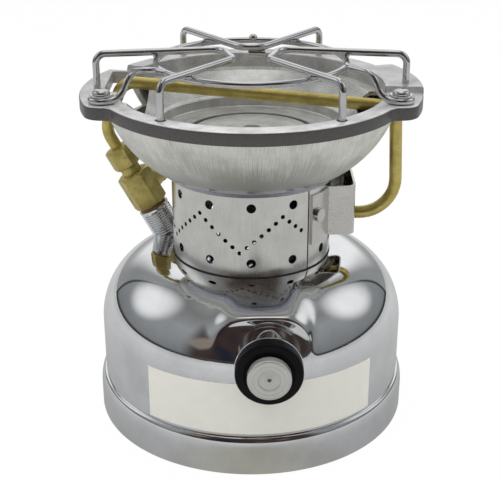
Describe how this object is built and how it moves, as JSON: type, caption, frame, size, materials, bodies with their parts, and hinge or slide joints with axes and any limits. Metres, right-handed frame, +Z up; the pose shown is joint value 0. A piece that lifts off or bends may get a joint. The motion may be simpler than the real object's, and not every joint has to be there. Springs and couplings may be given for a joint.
{
  "type": "gasoline camping stove",
  "caption": "Squat single-burner liquid-fuel stove: round tank with hand pump, pierced collar, burner bowl and wire pot grate.",
  "frame": {"origin": "centre of the foot hoop's resting face, under the middle of the tank", "axes": "+Z up through the burner, -Y towards the pump, +X towards the side where the generator drops to the bracket"},
  "size_m": [0.159, 0.1671, 0.1796],
  "materials": {
    "tank_chrome": "polished chrome plate",
    "wire_chrome": "chrome-plated wire",
    "plated_steel": "bright plated steel",
    "bare_aluminium": "satin brushed aluminium",
    "stainless": "brushed stainless sheet",
    "burner_steel": "dull heat-worn steel",
    "brass": "aged brass",
    "black_plastic": "black moulded plastic",
    "maroon_plastic": "dark red moulded plastic",
    "gasket_rubber": "matt rubber",
    "piston_leather": "oiled leather",
    "seal_fibre": "pressed fibre"
  },
  "bodies": {
    "stove": {"fount_shell": "tank_chrome", "fount_base": "tank_chrome", "collar_ring": "stainless", "filler_neck": "brass", "pump_cup": "tank_chrome", "pump_barrel": "brass", "pump_cap": "black_plastic", "check_valve": "brass", "valve_bung": "tank_chrome", "valve_seal": "seal_fibre", "valve_body": "brass", "packing_nut": "brass", "fuel_pickup": "brass", "generator_nut": "brass", "generator_tube": "brass", "gas_tip": "brass", "burner_collar": "stainless", "mixer_bracket": "stainless", "bracket_screws": "plated_steel", "mixing_tube": "burner_steel", "burner_bowl": "bare_aluminium", "bowl_rim": "bare_aluminium", "drip_pan": "bare_aluminium", "burner_base": "burner_steel", "burner_rings": "burner_steel", "burner_cap": "stainless", "burner_screw": "plated_steel", "finger_left": "wire_chrome", "finger_right": "wire_chrome", "finger_rear": "wire_chrome", "grate_wire_front": "wire_chrome", "grate_wire_rear": "wire_chrome", "grate_washers": "plated_steel", "grate_screws": "plated_steel"},
    "air_stem": {"air_stem": "plated_steel"},
    "plunger": {"plunger_tube": "plated_steel", "pump_knob": "bare_aluminium", "piston_leather": "piston_leather", "piston_nut": "brass"},
    "control_wheel": {"valve_spindle": "brass", "valve_wheel": "maroon_plastic", "wheel_screw": "plated_steel"},
    "filler_lid": {"filler_gasket": "gasket_rubber"},
    "filler_cap": {"filler_cap": "bare_aluminium", "filler_screw": "plated_steel"}
  },
  "joints": [
    {"name": "pump_turn", "type": "hinge", "parent": "stove", "child": "air_stem", "pos_m": [0.0078, 0, 0.0575], "axis": [0, -1, 0], "range_deg": [0, 360]},
    {"name": "pump_stroke", "type": "slide", "parent": "air_stem", "child": "plunger", "axis": [0, -1, 0], "range_m": [0, 0.06]},
    {"name": "valve_turn", "type": "hinge", "parent": "stove", "child": "control_wheel", "pos_m": [-0.05555, 0.024, 0.10385], "axis": [0.3714, 0.9063, 0.2017], "range_deg": [0, 450]},
    {"name": "filler_rise", "type": "slide", "parent": "stove", "child": "filler_lid", "axis": [0, 0, 1], "range_m": [0, 0.0075]},
    {"name": "filler_turn", "type": "hinge", "parent": "filler_lid", "child": "filler_cap", "pos_m": [0.02017, 0.05337, 0.0937], "axis": [0, 0, 1], "range_deg": [0, 1080]}
  ],
  "couplings": [
    {"joint": "filler_turn", "follows": "filler_rise", "rad_per_m": 2513.3}
  ]
}
